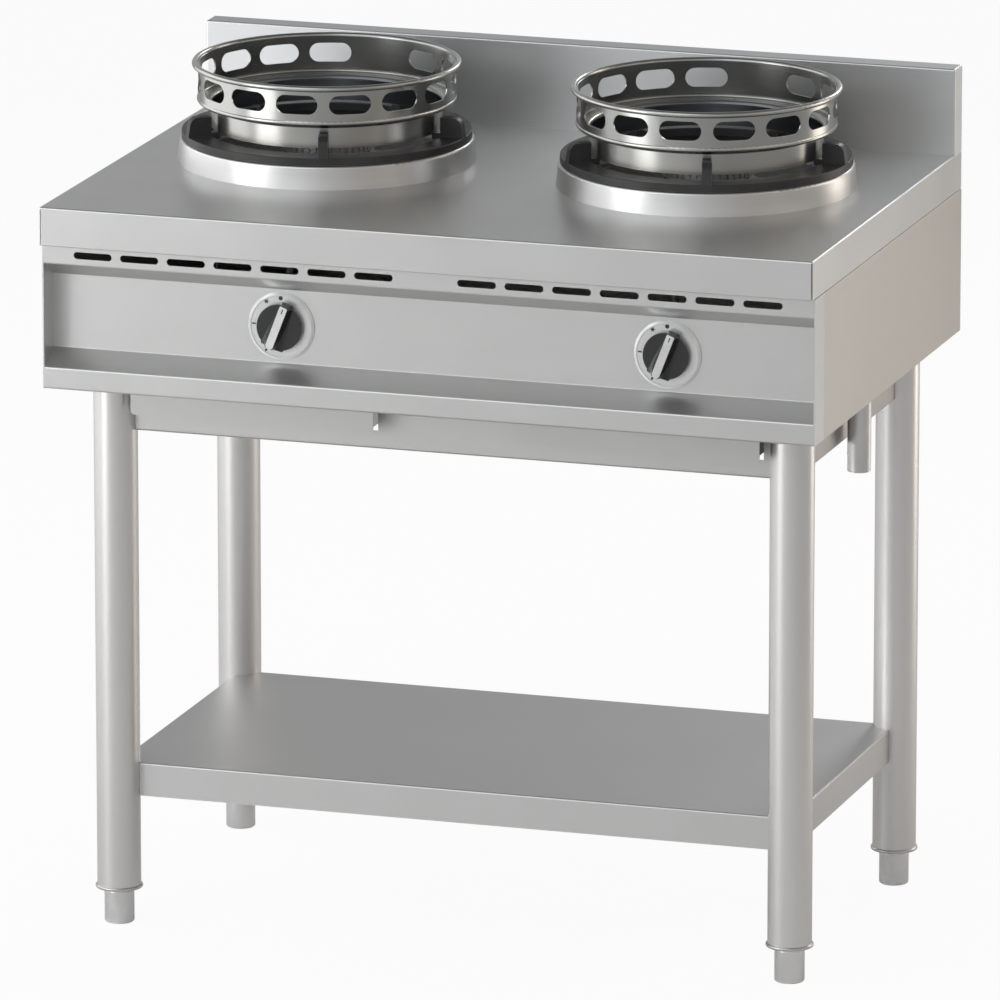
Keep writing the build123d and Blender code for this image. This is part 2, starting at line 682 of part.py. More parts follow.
# ---------------------------------------------------------------- gas train
def gas_valve():
    """Valve body behind the panel: barrel, inlet port below, outlet port above, magnet unit."""
    barrel = level(0, DIAL_Z, VALVE_FRONT, VALVE_BACK, VALVE_BODY_RADIUS)
    barrel += upright(0, MANIFOLD_Y, PORT_FACE_Z, DIAL_Z, VALVE_PORT_RADIUS)
    barrel += upright(0, FEED_Y, DIAL_Z, OUTLET_FACE_Z, VALVE_PORT_RADIUS - 1)
    barrel += level(0, DIAL_Z, VALVE_BACK, VALVE_BACK + MAGNET_LENGTH, MAGNET_RADIUS)
    bore = level(0, DIAL_Z, VALVE_FRONT, PLUG_FRONT, STEM_RADIUS + SHAFT_CLEARANCE)
    cavity = Solid.make_cone(
        PLUG_RADIUS + SHAFT_CLEARANCE, PLUG_TIP_RADIUS + SHAFT_CLEARANCE,
        PLUG_LENGTH + 2 * TOUCH_GAP,
    )
    cavity = Pos(0, PLUG_FRONT, DIAL_Z) * Rot(-90, 0, 0) * cavity
    return barrel - bore - cavity


def valve_plug():
    """Tapered plug that opens and closes the gas way; the stem slides in its bore."""
    cone = Solid.make_cone(PLUG_RADIUS, PLUG_TIP_RADIUS, PLUG_LENGTH)
    cone = Pos(0, PLUG_FRONT + TOUCH_GAP, DIAL_Z) * Rot(-90, 0, 0) * cone
    back = PLUG_FRONT + TOUCH_GAP + PLUG_LENGTH - 3
    bore = level(0, DIAL_Z, PLUG_FRONT, back, STEM_TAIL_RADIUS + SHAFT_CLEARANCE)
    counterbore = level(
        0, DIAL_Z, PLUG_FRONT, PLUG_FRONT + KNOB_PUSH + 2, STEM_RADIUS + SHAFT_CLEARANCE
    )
    return cone - bore - counterbore


def valve_stem():
    """Stem from the knob's bore into the plug, with a flat where the knob drives it."""
    front = KNOB_FACE - KNOB_BORE_BEYOND + 1
    shoulder = PLUG_FRONT + TOUCH_GAP + 1
    stem = level(0, DIAL_Z, front, shoulder, STEM_RADIUS)
    stem += level(0, DIAL_Z, shoulder, PLUG_FRONT + PLUG_LENGTH - KNOB_PUSH - 4, STEM_TAIL_RADIUS)
    flat_end = KNOB_BACK + 2
    stem -= block(
        -STEM_RADIUS, STEM_RADIUS, front - 1, flat_end, DIAL_Z + STEM_FLAT, DIAL_Z + STEM_RADIUS
    )
    return stem


def feed_pipe(sign):
    """Small tube from the valve's outlet up and across to the injector."""
    start = (knob_x(sign), FEED_Y, OUTLET_FACE_Z)
    hub_front = MIXER_MOUTH_Y - INJECTOR_GAP - INJECTOR_LENGTH
    path = FilletPolyline(
        start,
        (knob_x(sign), FEED_Y, MIXER_Z),
        (burner_x(sign), FEED_Y, MIXER_Z),
        (burner_x(sign), hub_front, MIXER_Z),
        radius=FEED_BEND,
    )
    return sweep(Plane(origin=start, z_dir=(0, 0, 1)) * Circle(FEED_RADIUS), path=path)


def gas_manifold():
    """Supply pipe under the valves, capped at the left, with a seat under each valve."""
    left_end = knob_x(-1) - MANIFOLD_OVERRUN
    right_end = knob_x(1) + MANIFOLD_OVERRUN
    length = right_end - left_end
    centre = Pos((left_end + right_end) / 2, MANIFOLD_Y, MANIFOLD_Z) * Rot(0, 90, 0)
    pipe = centre * Cylinder(MANIFOLD_RADIUS, length)
    for _, sign in SIDES:
        pipe += upright(knob_x(sign), MANIFOLD_Y, MANIFOLD_Z, PORT_FACE_Z, VALVE_PORT_RADIUS)
    pipe -= Pos(MANIFOLD_WALL, 0, 0) * centre * Cylinder(MANIFOLD_RADIUS - MANIFOLD_WALL, length)
    return pipe


def gas_inlet_pipe():
    """Bent pipe from the manifold's end, back along the side and down out of the cabinet."""
    start = (knob_x(1) + MANIFOLD_OVERRUN - INLET_SOCKET, MANIFOLD_Y, MANIFOLD_Z)
    corners = [
        start,
        (INLET_X, MANIFOLD_Y, MANIFOLD_Z),
        (INLET_X, INLET_Y, MANIFOLD_Z),
        (INLET_X, INLET_Y, INLET_END_Z),
    ]
    path = FilletPolyline(*corners, radius=INLET_BEND)
    section = Circle(INLET_RADIUS) - Circle(INLET_RADIUS - INLET_WALL)
    pipe = sweep(Plane(origin=start, z_dir=(1, 0, 0)) * section, path=path)
    end_top = INLET_END_Z + INLET_END_LENGTH
    turning = upright(INLET_X, INLET_Y, INLET_END_Z, end_top, INLET_RADIUS + 1)
    turning -= upright(INLET_X, INLET_Y, INLET_END_Z, end_top, INLET_END_RADIUS)
    return pipe - turning


# ---------------------------------------------------------------- dials and knobs
def dial_bezel():
    """Round plate with a bevelled rim on the recess panel, bored for the stem."""
    flat_radius = DIAL_RADIUS - DIAL_BEVEL
    section = outline([
        (STEM_RADIUS + HOLE_CLEARANCE, 0),
        (DIAL_RADIUS, 0),
        (DIAL_RADIUS, DIAL_THICKNESS * 0.4),
        (flat_radius + 0.6, DIAL_THICKNESS),
        (flat_radius - 0.4, DIAL_THICKNESS),
        (flat_radius - 0.8, DIAL_THICKNESS - 0.5),
        (STEM_RADIUS + HOLE_CLEARANCE, DIAL_THICKNESS - 0.5),
    ])
    plate = revolve(Plane.XZ * section, Axis.Z)
    return Pos(0, RECESS_BACK, DIAL_Z) * Rot(90, 0, 0) * plate


def knob():
    """Skirt with a lofted grip that flares at its lower end, bored to suit the stem's flat."""
    skirt = Pos(0, 0, KNOB_SKIRT / 2) * Cylinder(KNOB_RADIUS, KNOB_SKIRT)
    skirt = fillet(skirt.edges().group_by(Axis.Z)[-1], KNOB_SKIRT / 3)
    root = KNOB_SKIRT - TOUCH_GAP
    rise = GRIP_HEIGHT + TOUCH_GAP
    flare = GRIP_BASE_WIDTH - GRIP_WIDTH
    neck = GRIP_TIP_WIDTH - GRIP_WIDTH
    shortening = GRIP_BASE_LENGTH - GRIP_LENGTH
    sections = []
    for share, spread in ((0.0, 1.0), (0.2, 0.52), (0.5, 0.18), (1.0, 0.0)):
        length = GRIP_LENGTH + shortening * (1 - share)
        low = GRIP_WIDTH + flare * spread
        high = GRIP_WIDTH + neck * spread
        plan = outline([
            (-low / 2, -length / 2), (low / 2, -length / 2), (high / 2, length / 2),
            (-high / 2, length / 2),
        ])
        plan = fillet(plan.vertices(), GRIP_CORNER)
        sections.append(Plane.XY.offset(root + rise * share) * Pos(0, GRIP_OFFSET) * plan)
    grip = loft(sections)
    hub_depth = KNOB_SKIRT + KNOB_BORE_BEYOND
    bore = Cylinder(STEM_RADIUS + SHAFT_CLEARANCE, hub_depth)
    flat_height = STEM_FLAT + SHAFT_CLEARANCE
    bore -= block(-STEM_RADIUS, STEM_RADIUS, flat_height, STEM_RADIUS + 1, -hub_depth, hub_depth)
    bore = Rot(0, 0, KNOB_POINTER_TURN) * Pos(0, 0, hub_depth / 2 - 0.5) * bore
    return Rot(0, 0, -KNOB_POINTER_TURN) * (skirt + grip - bore)


def knob_pointer():
    """Bright strip laid along the top of the grip, round at its lower end."""
    plan = Rectangle(STRIP_WIDTH, GRIP_LENGTH)
    lower = plan.vertices().group_by(Axis.Y)[0]
    plan = fillet(lower, STRIP_WIDTH * 0.45)
    upper = plan.vertices().group_by(Axis.Y)[-1]
    plan = fillet(upper, STRIP_CORNER)
    strip = extrude(plan, amount=STRIP_THICKNESS)
    lift = KNOB_SKIRT + GRIP_HEIGHT
    return Rot(0, 0, -KNOB_POINTER_TURN) * Pos(0, GRIP_OFFSET, lift) * strip


def on_dial(shape, sign):
    """Place a piece drawn with its face towards +Z on the knob's axis, facing the user."""
    return Pos(knob_x(sign), KNOB_BACK, DIAL_Z) * Rot(90, 0, 0) * shape


# ---------------------------------------------------------------- cabinet panels
def vent_slots():
    """Stadium cutters through the strip above the recess, a row on each side of the middle."""
    stadium = SlotOverall(VENT_LENGTH, VENT_HEIGHT)
    cutters = []
    for _, sign in SIDES:
        for index in range(VENT_COUNT):
            middle = (sign * (VENT_FIRST + index * VENT_PITCH), PANEL_FRONT - 1, TOP - VENT_DROP)
            plane = Plane(origin=middle, x_dir=(1, 0, 0), z_dir=(0, 1, 0))
            cutters.append(extrude(plane * stadium, amount=PANEL_SHEET + 2))
    return cutters


def bolt_hole(x, y):
    return upright(x, y, CABINET_BOTTOM - 1, CABINET_BOTTOM + PANEL_SHEET + 1, BOLT_RADIUS + 0.5)


def front_panel():
    """Folded front: vent strip, set-back control panel between two slants, lower apron."""
    path = [
        (PANEL_FRONT + TOP_FLANGE, TOP - WORKTOP_SHEET),
        (PANEL_FRONT, TOP - WORKTOP_SHEET),
        (PANEL_FRONT, RECESS_TOP),
        (RECESS_BACK, RECESS_TOP - RECESS_SLANT),
        (RECESS_BACK, RECESS_BOTTOM + RECESS_SLANT),
        (PANEL_FRONT, RECESS_BOTTOM),
        (PANEL_FRONT, CABINET_BOTTOM),
        (PANEL_FRONT + FRONT_FLANGE, CABINET_BOTTOM),
    ]
    inside = SIDE - PANEL_SHEET
    panel = extrude(Plane.YZ * folded(path, PANEL_SHEET), amount=inside, both=True)
    for _, sign in SIDES:
        edge = sorted((sign * inside, sign * SIDE))
        panel += block(
            edge[0], edge[1], PANEL_FRONT, END_PLATE_BACK,
            CABINET_BOTTOM, APRON_BOTTOM - SEAM_GAP,
        )
        panel -= level(
            knob_x(sign), DIAL_Z, RECESS_BACK - 1, RECESS_BACK + PANEL_SHEET + 1,
            STEM_RADIUS + HOLE_CLEARANCE,
        )
        panel -= bolt_hole(sign * LEG_X, LEG_FRONT_Y)
    for cutter in vent_slots():
        panel -= cutter
    return panel


def side_panel(sign):
    """Flat side with a flange below it and a strip that laps behind the worktop's flange."""
    y0 = END_PLATE_BACK + SEAM_GAP
    outer = SIDE
    inner = SIDE - PANEL_SHEET
    flange_front = PANEL_FRONT + FRONT_FLANGE + SEAM_GAP
    flange_back = BACK - REAR_FLANGE - SEAM_GAP
    top = APRON_BOTTOM - SEAM_GAP
    panel = block(inner, outer, y0, BACK, CABINET_BOTTOM, top)
    seam = panel.edges().filter_by(Axis.Y).sort_by_distance((outer, 0, top))[0]
    panel = fillet(seam, SIDE_TOP_RADIUS)
    panel += block(
        outer - SIDE_FLANGE, inner, flange_front, flange_back,
        CABINET_BOTTOM, CABINET_BOTTOM + PANEL_SHEET,
    )
    lap_outer = inner - SEAM_GAP / 2
    panel += block(
        lap_outer - PANEL_SHEET, lap_outer, y0, BACK - 2 * OVERLAP_STRIP,
        top - OVERLAP_STRIP_WIDTH / 2, top + OVERLAP_STRIP_WIDTH / 2,
    )
    panel += block(
        lap_outer, inner, y0, BACK - 2 * OVERLAP_STRIP, top - OVERLAP_STRIP_WIDTH / 2, top
    )
    if sign > 0:
        panel -= upright(
            INLET_X, INLET_Y, CABINET_BOTTOM - 1, CABINET_BOTTOM + PANEL_SHEET + 1,
            INLET_RADIUS + HOLE_CLEARANCE,
        )
        return panel
    return mirror(panel, Plane.YZ)


def rear_panel():
    """Flat back between the sides with a wide flange over the rear rail."""
    inside = SIDE - PANEL_SHEET - SEAM_GAP
    top = APRON_BOTTOM - SEAM_GAP
    panel = block(-inside, inside, BACK - PANEL_SHEET, BACK, CABINET_BOTTOM, top)
    panel += block(
        -inside, inside, BACK - REAR_FLANGE, BACK, CABINET_BOTTOM, CABINET_BOTTOM + PANEL_SHEET
    )
    for _, sign in SIDES:
        panel -= bolt_hole(sign * LEG_X, LEG_REAR_Y)
    return panel


# ---------------------------------------------------------------- stand
def legs():
    """The four leg places, each with its name."""
    return [
        (f"{row}_{side}", sign * LEG_X, y)
        for row, y in (("front", LEG_FRONT_Y), ("rear", LEG_REAR_Y))
        for side, sign in SIDES
    ]


def leg(x, y):
    """Tube with a welded, bored cap that the cabinet is bolted down on."""
    tube = upright(x, y, LEG_BOTTOM, CABINET_BOTTOM, LEG_RADIUS)
    tube -= upright(x, y, LEG_BOTTOM, CABINET_BOTTOM - LEG_CAP, LEG_RADIUS - LEG_WALL)
    return tube - upright(x, y, LEG_BOTTOM, CABINET_BOTTOM + 1, BOLT_RADIUS + SHAFT_CLEARANCE)


def leg_insert(x, y):
    """Flanged threaded bush pressed into the tube's lower end."""
    sleeve = LEG_RADIUS - LEG_WALL - SHAFT_CLEARANCE
    bush = upright(x, y, INSERT_BOTTOM, LEG_BOTTOM, INSERT_FLANGE_RADIUS)
    bush = fillet(bush.edges(), INSERT_FLANGE * 0.4)
    bush += upright(x, y, LEG_BOTTOM - 0.5, LEG_BOTTOM + INSERT_SLEEVE, sleeve)
    bore = STUD_RADIUS + SHAFT_CLEARANCE
    return bush - upright(x, y, INSERT_BOTTOM, LEG_BOTTOM + INSERT_SLEEVE, bore)


def foot(x, y):
    """Screw foot: plain upper half, spanner flats on the lower half, stud up into the bush."""
    body = upright(0, 0, 0, FOOT_HEIGHT, FOOT_RADIUS)
    body = chamfer(body.edges().group_by(Axis.Z)[0], FOOT_CHAMFER)
    reach = FOOT_RADIUS + 1
    for _, sign in SIDES:
        low, high = sorted((sign * (FOOT_RADIUS - FOOT_FLAT_DEPTH), sign * reach))
        body -= block(-reach, reach, low, high, -1, FOOT_FLAT_HEIGHT)
    low = FOOT_HEIGHT - FOOT_GROOVE_DROP
    groove = upright(0, 0, low, low + 1, FOOT_RADIUS + 1)
    groove -= upright(0, 0, low, low + 1, FOOT_RADIUS - FOOT_GROOVE)
    body -= groove
    body += upright(0, 0, FOOT_HEIGHT - 1, FOOT_HEIGHT + STUD_LENGTH, STUD_RADIUS)
    return Pos(x, y, 0) * body


def leg_bolt(x, y):
    """Bolt through the cabinet's flange into a leg's cap."""
    flange_top = CABINET_BOTTOM + PANEL_SHEET
    head = Pos(x, y, flange_top) * extrude(
        RegularPolygon(BOLT_HEAD_RADIUS, 6), amount=BOLT_HEAD_HEIGHT
    )
    return head + upright(x, y, CABINET_BOTTOM - LEG_CAP - 6, flange_top + 1, BOLT_RADIUS)


def leg_cutters():
    cutters = []
    for _, x, y in legs():
        cutters.append(upright(x, y, 0, TOP, LEG_RADIUS + LEG_CLEARANCE))
    return cutters


def rail_section(web, direction):
    """Channel section in an (across, z) plane, its flanges towards the given direction."""
    path = [
        (web + direction * RAIL_WIDTH, CABINET_BOTTOM),
        (web, CABINET_BOTTOM),
        (web, RAIL_BOTTOM),
        (web + direction * RAIL_WIDTH, RAIL_BOTTOM),
    ]
    if direction < 0:
        path = path[::-1]
    return folded(path, RAIL_SHEET)


def trimmed(rail):
    for cutter in leg_cutters():
        rail -= cutter
    return rail


def front_rail():
    """Front channel with a cut-out for each crumb tray."""
    section = rail_section(LEG_FRONT_Y - RAIL_OUTSET, 1)
    rail = extrude(Plane.YZ * section, amount=LEG_X, both=True)
    for _, sign in SIDES:
        middle = burner_x(sign)
        rail -= block(
            middle - CUTOUT_HALF, middle + CUTOUT_HALF,
            LEG_FRONT_Y - RAIL_OUTSET - 1, LEG_FRONT_Y - RAIL_OUTSET + RAIL_SHEET + 1,
            CUTOUT_BOTTOM, CUTOUT_TOP,
        )
    return trimmed(rail)


def rear_rail():
    section = rail_section(LEG_REAR_Y + RAIL_OUTSET, -1)
    return trimmed(extrude(Plane.YZ * section, amount=LEG_X, both=True))


def side_rail(sign):
    """Side channel between the front and rear channels, coped round both legs."""
    front = LEG_FRONT_Y - RAIL_OUTSET + RAIL_WIDTH + LEG_CLEARANCE
    rear = LEG_REAR_Y + RAIL_OUTSET - RAIL_WIDTH - LEG_CLEARANCE
    section = rail_section(LEG_X + RAIL_OUTSET, -1)
    plane = Plane(origin=(0, rear, 0), x_dir=(1, 0, 0), z_dir=(0, -1, 0))
    rail = trimmed(extrude(plane * section, amount=rear - front))
    if sign > 0:
        return rail
    return mirror(rail, Plane.YZ)


# ---------------------------------------------------------------- shelf and trays
def shelf():
    """Folded shelf whose edges run between the legs' centres, notched round each leg."""
    bottom = SHELF_HEIGHT - SHELF_APRON
    tray = block(-LEG_X, LEG_X, LEG_FRONT_Y, LEG_REAR_Y, bottom, SHELF_HEIGHT)
    tray = fillet(tray.edges().group_by(Axis.Z)[-1], SHELF_EDGE_RADIUS)
    inner = LEG_X - SHELF_SHEET
    tray -= block(
        -inner, inner, LEG_FRONT_Y + SHELF_SHEET, LEG_REAR_Y - SHELF_SHEET,
        bottom, SHELF_HEIGHT - SHELF_SHEET,
    )
    return trimmed(tray)


def crumb_tray(sign):
    """Open pan with a wider front plate that stands before the rail's cut-out."""
    middle = burner_x(sign)
    half = TRAY_HALF
    back = TRAY_FRONT_Y + TRAY_LENGTH
    top = TRAY_BOTTOM + TRAY_WALL_HEIGHT
    pan = block(-half, half, TRAY_FRONT_Y, back, TRAY_BOTTOM, top)
    pan = fillet(pan.edges().filter_by(Axis.Z).group_by(Axis.Y)[-1], TRAY_CORNER)
    pan -= block(
        -half + TRAY_SHEET, half - TRAY_SHEET, TRAY_FRONT_Y + TRAY_SHEET, back - TRAY_SHEET,
        TRAY_BOTTOM + TRAY_SHEET, top + 1,
    )
    plane = Plane(
        origin=(0, TRAY_FRONT_Y, TRAY_BOTTOM + TRAY_FRONT_HEIGHT / 2),
        x_dir=(1, 0, 0), z_dir=(0, -1, 0),
    )
    plate = plane * RectangleRounded(2 * TRAY_PLATE_HALF, TRAY_FRONT_HEIGHT, TRAY_CORNER)
    pan += extrude(plate, amount=TRAY_SHEET)
    hem = TRAY_BOTTOM + TRAY_FRONT_HEIGHT
    pan += block(
        -half, half, TRAY_FRONT_Y - TRAY_SHEET, TRAY_FRONT_Y + 8, hem - TRAY_SHEET, hem
    )
    return Pos(middle, 0, 0) * pan


def tray_runners():
    """Two angle runners under each tray, butted on the rails' webs below the cut-outs."""
    front = LEG_FRONT_Y - RAIL_OUTSET + RAIL_SHEET
    rear = LEG_REAR_Y + RAIL_OUTSET - RAIL_SHEET
    top = TRAY_BOTTOM - TOUCH_GAP
    angles = []
    for _, sign in SIDES:
        for _, side in SIDES:
            inner, outer = sorted((side * (RUNNER_OUTER - RUNNER_REACH), side * RUNNER_OUTER))
            angle = block(inner, outer, front, rear, top - RUNNER_SHEET, top)
            folded_edge = side * (RUNNER_OUTER - RUNNER_REACH)
            leg_side = sorted((folded_edge, folded_edge + side * RUNNER_SHEET))
            angle += block(leg_side[0], leg_side[1], front, rear, top - RUNNER_LEG, top)
            angles.append(Pos(burner_x(sign), 0, 0) * angle)
    return Compound(children=angles)


# ---------------------------------------------------------------- build
def build():
    os.makedirs("parts", exist_ok=True)
    save(worktop(), "worktop")
    save(backsplash(), "backsplash")
    save(front_panel(), "front_panel")
    save(rear_panel(), "rear_panel")
    save(burner_bar(), "burner_bar")
    save(gas_manifold(), "gas_manifold")
    save(gas_inlet_pipe(), "gas_inlet_pipe")
    save(front_rail(), "front_rail")
    save(rear_rail(), "rear_rail")
    save(shelf(), "shelf")
    save(tray_runners(), "tray_runners")
    collar = burner_collar()
    liner = burner_liner()
    support = pan_support()
    hoop = wok_ring()
    body = burner_body()
    crown = burner_crown()
    jet = injector()
    thermocouple = probe(PROBE_RADIUS, PROBE_RADIUS * 0.8, 1)
    electrode = probe(INSULATOR_RADIUS, PROBE_RADIUS * 0.5, -1)
    for side, sign in SIDES:
        save(at_burner(collar, sign), f"burner_collar_{side}")
        save(at_burner(liner, sign), f"burner_liner_{side}")
        save(at_burner(support, sign), f"pan_support_{side}")
        save(at_burner(hoop, sign), f"wok_ring_{side}")
        save(at_burner(body, sign), f"burner_body_{side}")
        save(at_burner(crown, sign), f"burner_crown_{side}")
        save(at_burner(jet, sign), f"injector_{side}")
        save(at_burner(thermocouple, sign), f"thermocouple_{side}")
        save(at_burner(electrode, sign), f"spark_electrode_{side}")
        save(Pos(knob_x(sign), 0, 0) * gas_valve(), f"gas_valve_{side}")
        save(Pos(knob_x(sign), 0, 0) * valve_plug(), f"valve_plug_{side}")
        save(Pos(knob_x(sign), 0, 0) * valve_stem(), f"valve_stem_{side}")
        save(feed_pipe(sign), f"feed_pipe_{side}")
        save(Pos(knob_x(sign), 0, 0) * dial_bezel(), f"dial_bezel_{side}")
        save(on_dial(knob(), sign), f"knob_{side}")
        save(on_dial(knob_pointer(), sign), f"knob_pointer_{side}")
        save(side_panel(sign), f"side_panel_{side}")
        save(side_rail(sign), f"side_rail_{side}")
        save(crumb_tray(sign), f"crumb_tray_{side}")
    bolts = []
    inserts = []
    for name, x, y in legs():
        save(leg(x, y), f"leg_{name}")
        save(foot(x, y), f"foot_{name}")
        inserts.append(leg_insert(x, y))
        bolts.append(leg_bolt(x, y))
    save(Compound(children=inserts), "leg_inserts")
    save(Compound(children=bolts), "leg_bolts")


build()
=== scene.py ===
"""Two-burner gas wok range: finishes, small fittings, studio and camera.

Metres, in the frame of the construction model: +Z up, the cook stands at -Y.
"""

from math import cos, radians, sin

import bpy
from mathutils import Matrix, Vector


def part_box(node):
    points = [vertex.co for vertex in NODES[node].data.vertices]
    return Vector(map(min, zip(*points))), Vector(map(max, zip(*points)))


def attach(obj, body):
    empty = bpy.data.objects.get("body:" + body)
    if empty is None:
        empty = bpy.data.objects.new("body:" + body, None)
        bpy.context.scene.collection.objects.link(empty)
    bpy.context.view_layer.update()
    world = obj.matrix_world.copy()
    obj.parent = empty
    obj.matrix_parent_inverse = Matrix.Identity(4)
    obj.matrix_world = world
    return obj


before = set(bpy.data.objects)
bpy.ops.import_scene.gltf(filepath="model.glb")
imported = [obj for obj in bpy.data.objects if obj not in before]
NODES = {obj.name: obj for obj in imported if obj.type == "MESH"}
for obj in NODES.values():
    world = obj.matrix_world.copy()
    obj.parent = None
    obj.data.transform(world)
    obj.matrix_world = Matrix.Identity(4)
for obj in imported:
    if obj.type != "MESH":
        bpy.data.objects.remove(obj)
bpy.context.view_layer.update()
SIDES = ("left", "right")
LEGS = ("front_left", "front_right", "rear_left", "rear_right")
MM = 0.001


def pair(name):
    return [f"{name}_{side}" for side in SIDES]


def each_leg(name):
    return [f"{name}_{leg}" for leg in LEGS]


# ------------------------------------------------------------------ printed marks
# Angles run anticlockwise from the top, in degrees, as the cook sees the dial.
MARK_RING = 32.5 * MM
MARK_PROUD = 0.12 * MM
DIAL_FACE_STEP = 0.5 * MM
OFF_ANGLE = 0
DOT_RADIUS = 2.5 * MM
DOT_ROUNDING = 0.4 * MARK_PROUD
SPARK_ANGLE = 31
SPARK_RADIUS = 3.5 * MM
SPARK_WAIST = 0.42
LARGE_FLAME_ANGLE = 87
LARGE_FLAME_RING = 31.5 * MM
FLAME_BAR = (1.7 * MM, 4.6 * MM)
SMALL_FLAME_ANGLE = 148
DROP_RADIUS = 1.4 * MM
DROP_TIP = 1.1 * DROP_RADIUS
POINTER_ANGLE = -21
POINTER_MARK_RING = 23.3 * MM
POINTER_MARK = (1.3 * MM, 5.6 * MM)
BAR_ROUNDING = 0.39 * MM

# ------------------------------------------------------------------ pipe nuts
FEED_RADIUS = 4.0 * MM
NUT_RADIUS = 9.5 * MM
NUT_LENGTH = 11 * MM
NUT_INSET = 0.12 * NUT_RADIUS
NUT_CROWN = 0.07 * NUT_RADIUS
NUT_ROUNDING = 0.04 * NUT_RADIUS

# ------------------------------------------------------------------ camera, from the photograph
CAMERA_PLACE = (4.04914, -12.60765, 3.78025)
CAMERA_TARGET = (-0.0221, 0.0500, 0.46308)
CAMERA_LENS = 433.14
CAMERA_SENSOR = 36.0
CAMERA_REACH = 200

# ------------------------------------------------------------------ studio
# Light of the room by direction, and between which values of a direction it changes.
ROOM_BACK = (0.54, 0.54, 0.54)
ROOM_FRONT = (0.86, 0.865, 0.87)
ROOM_RIGHT = (0.62, 0.58, 0.53)
ROOM_CEILING = (0.17, 0.175, 0.18)
BACK_TO_FRONT = (-0.6, 0.9)
MIDDLE_TO_RIGHT = (0.1, 0.9)
WALL_TO_CEILING = (0.25, 0.85)

FLOOR_SIZE = 60
FLOOR_COLOUR = (0.84, 0.84, 0.84)
FLOOR_ROUGHNESS = 0.9
FLOOR_GLOW = 0.94

WHITE = (1.0, 1.0, 1.0)
WARM_FILL = (1.0, 0.92, 0.83)
WARM_STRIP = (1.0, 0.92, 0.82)
SOFTBOXES = (
    # name, place, target, width and height, watts, colour
    ("key softbox", (-2.6, -5.2, 4.6), (0, 0, 0.6), (8.0, 7.0), 150, WHITE),
    ("right fill", (4.6, -0.6, 3.0), (0, 0, 0.5), (3.6, 3.6), 10, WARM_FILL),
    ("left side strip", (-2.7, 0.1, 1.15), (0, 0, 0.75), (2.8, 2.1), 23, WHITE),
    ("left front strip", (-3.1, -3.2, 0.8), (0, 0, 0.5), (1.9, 1.9), 46, WHITE),
    ("right strip", (1.9, 1.6, 0.95), (0, 0, 0.75), (0.8, 1.9), 11, WARM_STRIP),
    ("rear strip", (0.45, 3.4, 2.15), (0.3, 0, 0.85), (0.8, 0.8), 15, WHITE),
)

# ------------------------------------------------------------------ colours of the finishes
POLISHED_STEEL = (0.61, 0.61, 0.61)
COLLAR_SHARE = 1.0
LINER_SHARE = 1.2
HOOP_STEEL = (0.42, 0.422, 0.407)
HOOP_STRAW = (0.40, 0.36, 0.30)
# Painted shade on the inner faces of the hoop.
HOOP_INSIDE_SHADE = (0.24, 0.245, 0.25)
# Heat blueing and painted shade on the lower inner faces of the hoop.
HOOP_BLUED_AND_SHADED = (0.10, 0.11, 0.125)
HOOP_STEP = 26 * MM
SUPPORT_IRON = (0.030, 0.030, 0.032)
BURNER_IRON = (0.030, 0.033, 0.060)
# Painted sheen: the grey that lightens the tops of the cast iron.
IRON_TOP_SHEEN = (0.08, 0.08, 0.082)
IRON_RUBBED = (0.17, 0.17, 0.175)
TUBE_STEEL = (0.70, 0.69, 0.68)
DIAL_SILVER = (0.69, 0.695, 0.70)
INK_DARK = (0.010, 0.010, 0.012)
INK_LIGHT = (0.030, 0.030, 0.033)

SHEETS = (
    # finish, colour, way of the brushing, roughness, metallic, nodes
    ("worktop brushed steel", (0.60, 0.605, 0.60), "X", 0.36, 1.0, ["worktop"]),
    ("front brushed steel", (0.60, 0.605, 0.60), "X", 0.34, 0.92, ["front_panel"]),
    ("backsplash brushed steel", (0.63, 0.64, 0.65), "X", 0.42, 1.0, ["backsplash"]),
    # The side sheets are darker and warmer than the other steel: a painted warm shade on the
    # cabinet's sides.
    ("side brushed steel, warm shade painted", (0.505, 0.485, 0.465), "Y", 0.42, 1.0, pair("side_panel")),
    ("back brushed steel", (0.62, 0.625, 0.62), "X", 0.42, 1.0, ["rear_panel"]),
    ("shelf brushed steel", (0.58, 0.58, 0.58), "X", 0.44, 1.0, ["shelf"]),
    ("rail satin steel", (0.53, 0.53, 0.525), "X", 0.42, 1.0,
     ["front_rail", "rear_rail", "tray_runners", "burner_bar"]),
    # Darker and warmer than the other rails: the same painted warm shade as the side panels.
    ("side rail satin steel, warm shade painted", (0.47, 0.455, 0.44), "Y", 0.42, 1.0, pair("side_rail")),
    ("crumb tray steel", (0.52, 0.52, 0.515), "X", 0.38, 1.0, pair("crumb_tray")),
)
TURNED_METALS = (
    # finish, colour, roughness, nodes
    ("leg bush steel", (0.55, 0.55, 0.55), 0.30, ["leg_inserts", "leg_bolts"]),
    ("foot turned steel", (0.78, 0.78, 0.78), 0.24, each_leg("foot")),
    ("burner crown metal", (0.90, 0.90, 0.89), 0.36, pair("burner_crown")),
    ("tap brass", (0.68, 0.50, 0.24), 0.28,
     pair("gas_valve") + pair("valve_plug") + pair("injector")),
    ("gas pipe steel", (0.64, 0.64, 0.635), 0.38,
     ["gas_manifold", "gas_inlet_pipe"] + pair("valve_stem") + pair("thermocouple")),
    ("soft aluminium tube", (0.70, 0.70, 0.71), 0.30, pair("feed_pipe")),
    ("knob strip aluminium", (0.78, 0.78, 0.79), 0.30, pair("knob_pointer")),
)
MOULDED_PARTS = (
    # finish, colour, roughness, nodes
    ("glazed ceramic", (0.80, 0.79, 0.76), 0.20, pair("spark_electrode")),
    ("knob black", (0.013, 0.013, 0.014), 0.14, pair("knob")),
)


